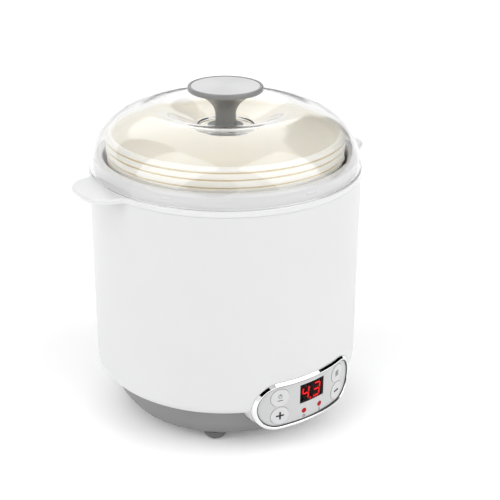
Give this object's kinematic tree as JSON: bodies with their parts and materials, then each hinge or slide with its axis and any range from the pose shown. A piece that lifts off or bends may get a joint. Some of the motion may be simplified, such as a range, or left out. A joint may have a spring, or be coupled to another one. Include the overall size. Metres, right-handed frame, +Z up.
{
  "type": "yogurt maker",
  "caption": "Round electric yogurt maker with a clear domed lid, lift-out inner container, carry tabs and a curved control panel with a lit display.",
  "frame": {"origin": "on the body's axis, at the level of the surface the feet stand on", "axes": "+Z up along the round body's axis; the control panel faces -Y; +X to the right of someone behind the panel's view direction +Y"},
  "size_m": [0.2384, 0.2033, 0.25],
  "materials": {
    "clear_plastic": "clear gloss",
    "knob_plastic": "satin mid grey",
    "knob_metal": "fine brushed disc",
    "silicone": "matt translucent",
    "steel": "plated",
    "jar_plastic": "cream, satin, slightly translucent",
    "shell_plastic": "white, satin gloss",
    "ring_plastic": "white, satin gloss",
    "well_metal": "plain drawn",
    "heater_foil": "foil",
    "fuse_plastic": "matt",
    "base_plastic": "mid grey, satin",
    "foot_rubber": "matt dark grey",
    "bezel_chrome": "bright chrome",
    "panel_silver": "light silver, satin",
    "button_silver": "light silver, satin",
    "window_dark": "dark smoked gloss",
    "display_black": "black",
    "digit_red": "lit red",
    "lamp_red": "red",
    "board_green": "solder mask",
    "transformer_tape": "taped",
    "inlet_black": "black",
    "pin_brass": "plain",
    "wire_insulation": "white insulation"
  },
  "bodies": {
    "housing": {"outer_shell": "shell_plastic", "top_ring": "ring_plastic", "inner_well": "well_metal", "heating_band": "heater_foil", "temperature_sensor": "steel", "thermal_fuse": "fuse_plastic", "base_cover": "base_plastic", "rubber_feet": "foot_rubber", "base_screws": "steel", "panel_bezel": "bezel_chrome", "face_plate": "panel_silver", "display_window": "window_dark", "display_module": "display_black", "display_digits": "digit_red", "indicator_leds": "lamp_red", "control_board": "board_green", "tact_switches": "display_black", "board_screws": "steel", "power_board": "board_green", "transformer": "transformer_tape", "power_inlet": "inlet_black", "inlet_pins": "pin_brass", "wire_loom": "wire_insulation"},
    "container": {"inner_jar": "jar_plastic"},
    "lid": {"dome_lid": "clear_plastic", "lid_knob": "knob_plastic", "knob_insert": "knob_metal", "knob_seal": "silicone", "knob_washer": "steel", "knob_screw": "steel"},
    "button_start": {"button_start": "button_silver"},
    "button_menu": {"button_menu": "button_silver"},
    "button_plus": {"button_plus": "button_silver"},
    "button_minus": {"button_minus": "button_silver"}
  },
  "joints": [
    {"name": "container_lift", "type": "slide", "parent": "housing", "child": "container", "axis": [0, 0, 1], "range_m": [0, 0.15]},
    {"name": "lid_lift", "type": "slide", "parent": "container", "child": "lid", "axis": [0, 0, 1], "range_m": [0, 0.12]},
    {"name": "button_start_press", "type": "slide", "parent": "housing", "child": "button_start", "axis": [0, 1, 0], "range_m": [0, 0.0008], "stiffness_N_per_m": 2500, "springref_m": -0.0004},
    {"name": "button_menu_press", "type": "slide", "parent": "housing", "child": "button_menu", "axis": [0, 1, 0], "range_m": [0, 0.0008], "stiffness_N_per_m": 2500, "springref_m": -0.0004},
    {"name": "button_plus_press", "type": "slide", "parent": "housing", "child": "button_plus", "axis": [0, 1, 0], "range_m": [0, 0.0008], "stiffness_N_per_m": 2500, "springref_m": -0.0004},
    {"name": "button_minus_press", "type": "slide", "parent": "housing", "child": "button_minus", "axis": [0, 1, 0], "range_m": [0, 0.0008], "stiffness_N_per_m": 2500, "springref_m": -0.0004}
  ]
}
